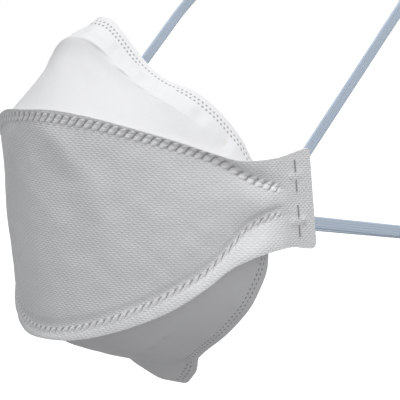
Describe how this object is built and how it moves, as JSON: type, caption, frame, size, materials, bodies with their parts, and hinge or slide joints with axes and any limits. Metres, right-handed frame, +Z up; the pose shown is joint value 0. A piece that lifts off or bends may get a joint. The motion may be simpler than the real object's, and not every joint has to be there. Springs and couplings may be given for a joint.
{
  "type": "dust mask",
  "caption": "Disposable flat-fold dust mask in its opened shape: three welded fabric panels, bendable nose clip, chin tab and two stapled elastic headbands.",
  "frame": {"origin": "midway between the ends of the two side tabs, at the tabs' middle height, where the mask meets the wearer's face", "axes": "+Z up, -Y out of the front of the mask, +Y towards the wearer's head, +X the wearer's left"},
  "size_m": [0.1494, 0.2097, 0.1977],
  "materials": {
    "white_web": "smooth spunbond polypropylene web, matt",
    "embossed_web": "finely embossed spunbond polypropylene web, matt",
    "filter_web": "soft melt-blown filter web",
    "stiffener_web": "coarse stiffening web",
    "inner_web": "soft smooth inner web",
    "foam": "soft open-cell polyurethane foam",
    "nose_aluminium": "soft bendable strip",
    "elastic": "flat blue-grey braided elastic",
    "staple_steel": "galvanised wire"
  },
  "bodies": {
    "root": {"centre_outer_cover": "embossed_web", "centre_stiffener": "stiffener_web", "centre_filter": "filter_web", "centre_inner_cover": "inner_web", "top_outer_cover": "white_web", "top_filter": "filter_web", "top_inner_cover": "inner_web", "bottom_outer_cover": "white_web", "bottom_filter": "filter_web", "bottom_inner_cover": "inner_web", "nose_clip": "nose_aluminium", "nose_foam": "foam", "left_upper_staple": "staple_steel", "left_lower_staple": "staple_steel", "right_upper_staple": "staple_steel", "right_lower_staple": "staple_steel"},
    "upper_band": {"upper_headband": "elastic"},
    "lower_band": {"lower_headband": "elastic"},
    "chin": {"chin_tab": "white_web"}
  },
  "joints": [
    {"name": "upper_headband_swing", "type": "hinge", "parent": "root", "child": "upper_band", "pos_m": [0, -0.009, 0.0104], "axis": [1, 0, 0], "range_deg": [-30, 12]},
    {"name": "lower_headband_swing", "type": "hinge", "parent": "root", "child": "lower_band", "pos_m": [0, -0.009, -0.0078], "axis": [1, 0, 0], "range_deg": [-35, 18]},
    {"name": "chin_tab_fold", "type": "hinge", "parent": "root", "child": "chin", "pos_m": [0, -0.0264, -0.0696], "axis": [1, 0, 0], "range_deg": [-35, 60]}
  ]
}
